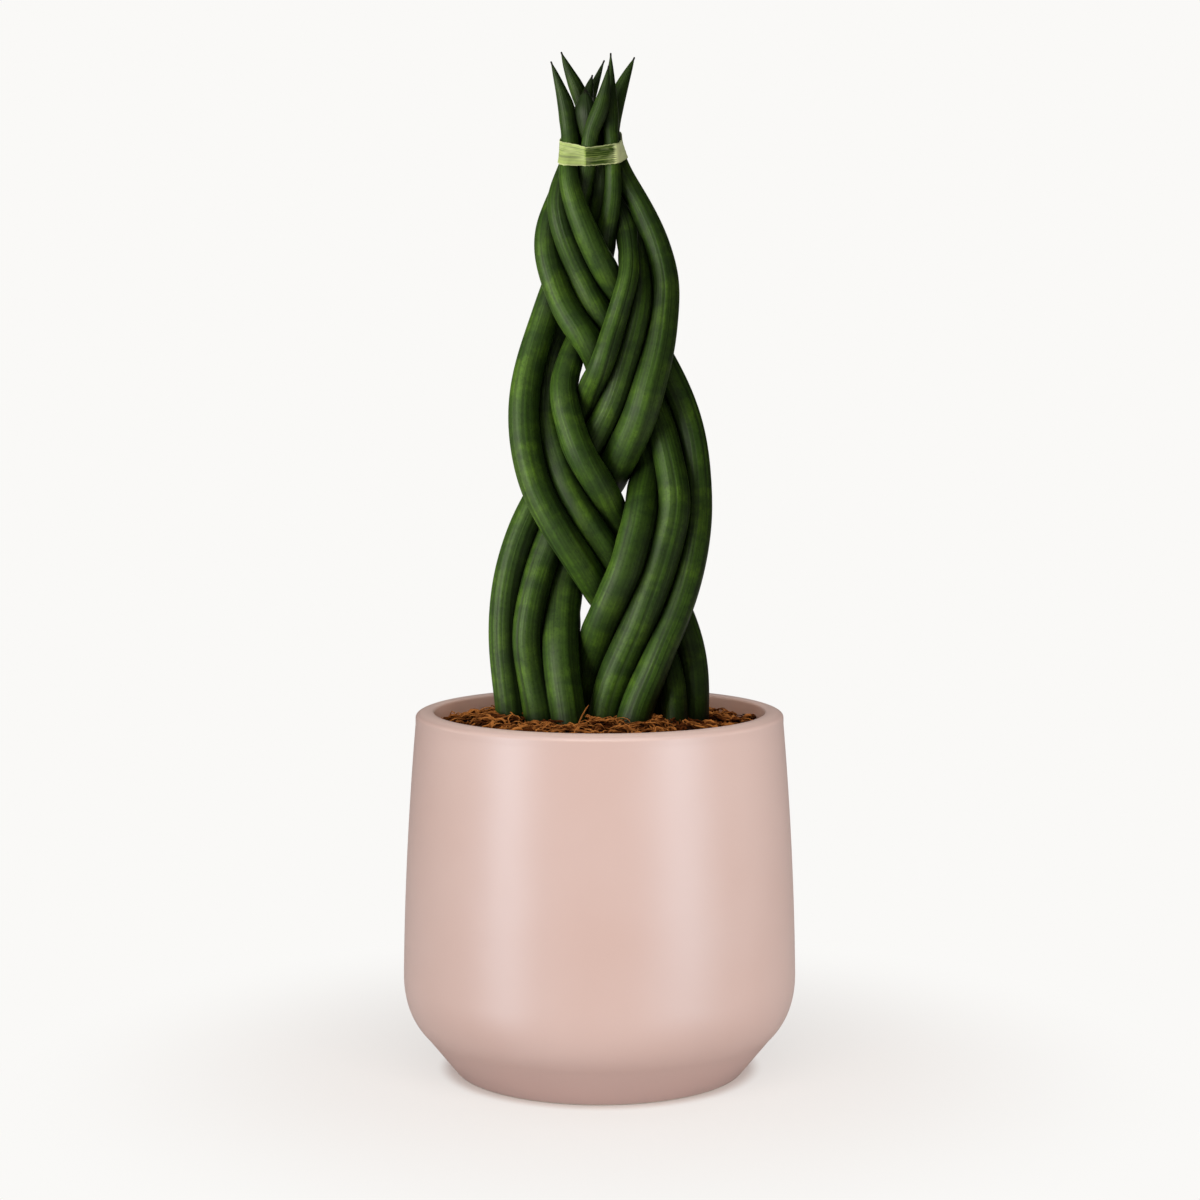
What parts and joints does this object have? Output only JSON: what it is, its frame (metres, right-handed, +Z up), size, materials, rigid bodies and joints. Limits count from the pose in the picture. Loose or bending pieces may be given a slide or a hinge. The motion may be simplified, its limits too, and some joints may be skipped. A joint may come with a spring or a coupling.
{
  "type": "braided cylindrical snake plant in a pot",
  "caption": "Upright succulent with round pointed leaves plaited together, tied near the tips and rooted under coir mulch in a rounded glazed pot.",
  "frame": {"origin": "centre of the pot's foot, on the surface that it stands on", "axes": "+Z up along the pot's axis, +Y towards the back, +X to the right as seen from the front"},
  "size_m": [0.1702, 0.1702, 0.438],
  "materials": {
    "pot_glaze": "satin dusty pink glaze",
    "potting_mix": "crumbly, matt",
    "coir": "shredded coconut fibre, matt",
    "leaf": "waxy, softly grooved lengthwise and mottled across",
    "dried_leaf": "dried, fine fibres along the strip"
  },
  "bodies": {
    "root": {"pot": "pot_glaze", "potting_mix": "potting_mix", "coir_mulch": "coir", "leaf_left_1": "leaf", "leaf_left_2": "leaf", "leaf_left_3": "leaf", "leaf_middle_1": "leaf", "leaf_middle_2": "leaf", "leaf_middle_3": "leaf", "leaf_right_1": "leaf", "leaf_right_2": "leaf", "leaf_right_3": "leaf", "tie_band": "dried_leaf"}
  },
  "joints": []
}
